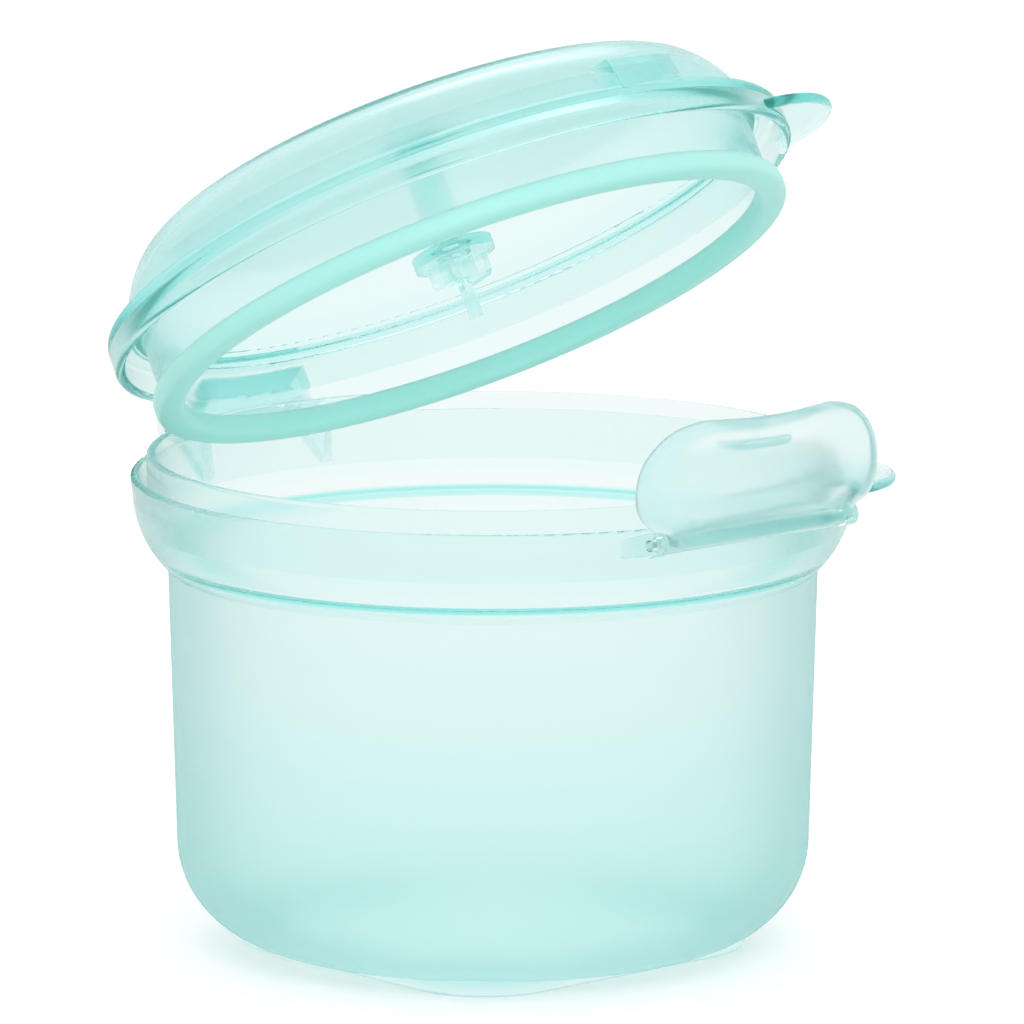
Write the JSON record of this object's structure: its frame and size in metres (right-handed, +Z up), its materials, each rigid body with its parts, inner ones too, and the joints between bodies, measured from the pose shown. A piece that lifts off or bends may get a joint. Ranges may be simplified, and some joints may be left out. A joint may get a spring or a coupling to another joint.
{
  "type": "formula dispenser",
  "caption": "Round translucent powder pot on a rounded square foot, with a hinged domed lid, a soft sealing ring and a front snap latch.",
  "frame": {"origin": "centre of the foot's underside", "axes": "+Z up along the pot's axis, latch at -Y, lid hinge at +Y"},
  "size_m": [0.09, 0.1025, 0.1152],
  "materials": {
    "pot_plastic": "frosted translucent polypropylene",
    "lid_plastic": "glossy translucent polypropylene",
    "seal_rubber": "satin thermoplastic elastomer",
    "latch_plastic": "frosted translucent polypropylene",
    "pin_plastic": "glossy"
  },
  "bodies": {
    "pot": {"cup": "pot_plastic", "lid_hinge_pin": "pin_plastic", "latch_hinge_pin": "pin_plastic"},
    "lid": {"lid": "lid_plastic", "lid_gasket": "seal_rubber", "lid_clip": "lid_plastic"},
    "latch": {"latch": "latch_plastic"}
  },
  "joints": [
    {"name": "lid_hinge", "type": "hinge", "parent": "pot", "child": "lid", "pos_m": [0, 0.0493, 0.06034], "axis": [-1, 0, 0], "range_deg": [-30.6, 79.4]},
    {"name": "latch_hinge", "type": "hinge", "parent": "pot", "child": "latch", "pos_m": [0, -0.0466, 0.0589], "axis": [1, 0, 0], "range_deg": [-10, 96]}
  ]
}
